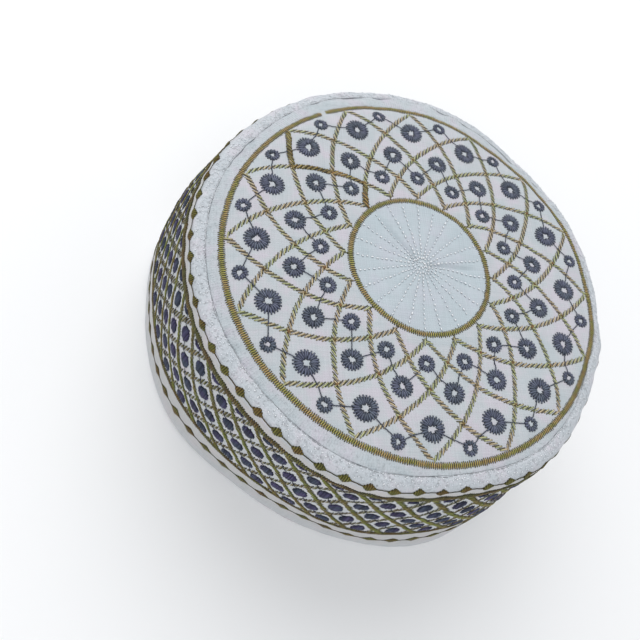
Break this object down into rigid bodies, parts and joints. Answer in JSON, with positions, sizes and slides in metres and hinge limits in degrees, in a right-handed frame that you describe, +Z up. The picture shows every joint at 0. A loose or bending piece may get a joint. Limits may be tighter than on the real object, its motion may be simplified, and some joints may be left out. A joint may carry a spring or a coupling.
{
  "type": "kufi cap",
  "caption": "Round soft brimless cap: a flat embroidered crown panel sewn to an upright embroidered side band, open underneath for the head.",
  "frame": {"origin": "middle of the cap's outline seen from above, on the surface that the hem stands on", "axes": "+Z up through the crown, -Y towards the viewer of the picture, +X to the right of that view"},
  "size_m": [0.2024, 0.18, 0.0923],
  "materials": {
    "crown_cloth": "white ribbed cotton with gold, olive and grey embroidery",
    "band_cloth": "white cotton covered in olive and grey-violet lattice embroidery"
  },
  "bodies": {
    "root": {"crown_panel": "crown_cloth", "side_band": "band_cloth"}
  },
  "joints": []
}
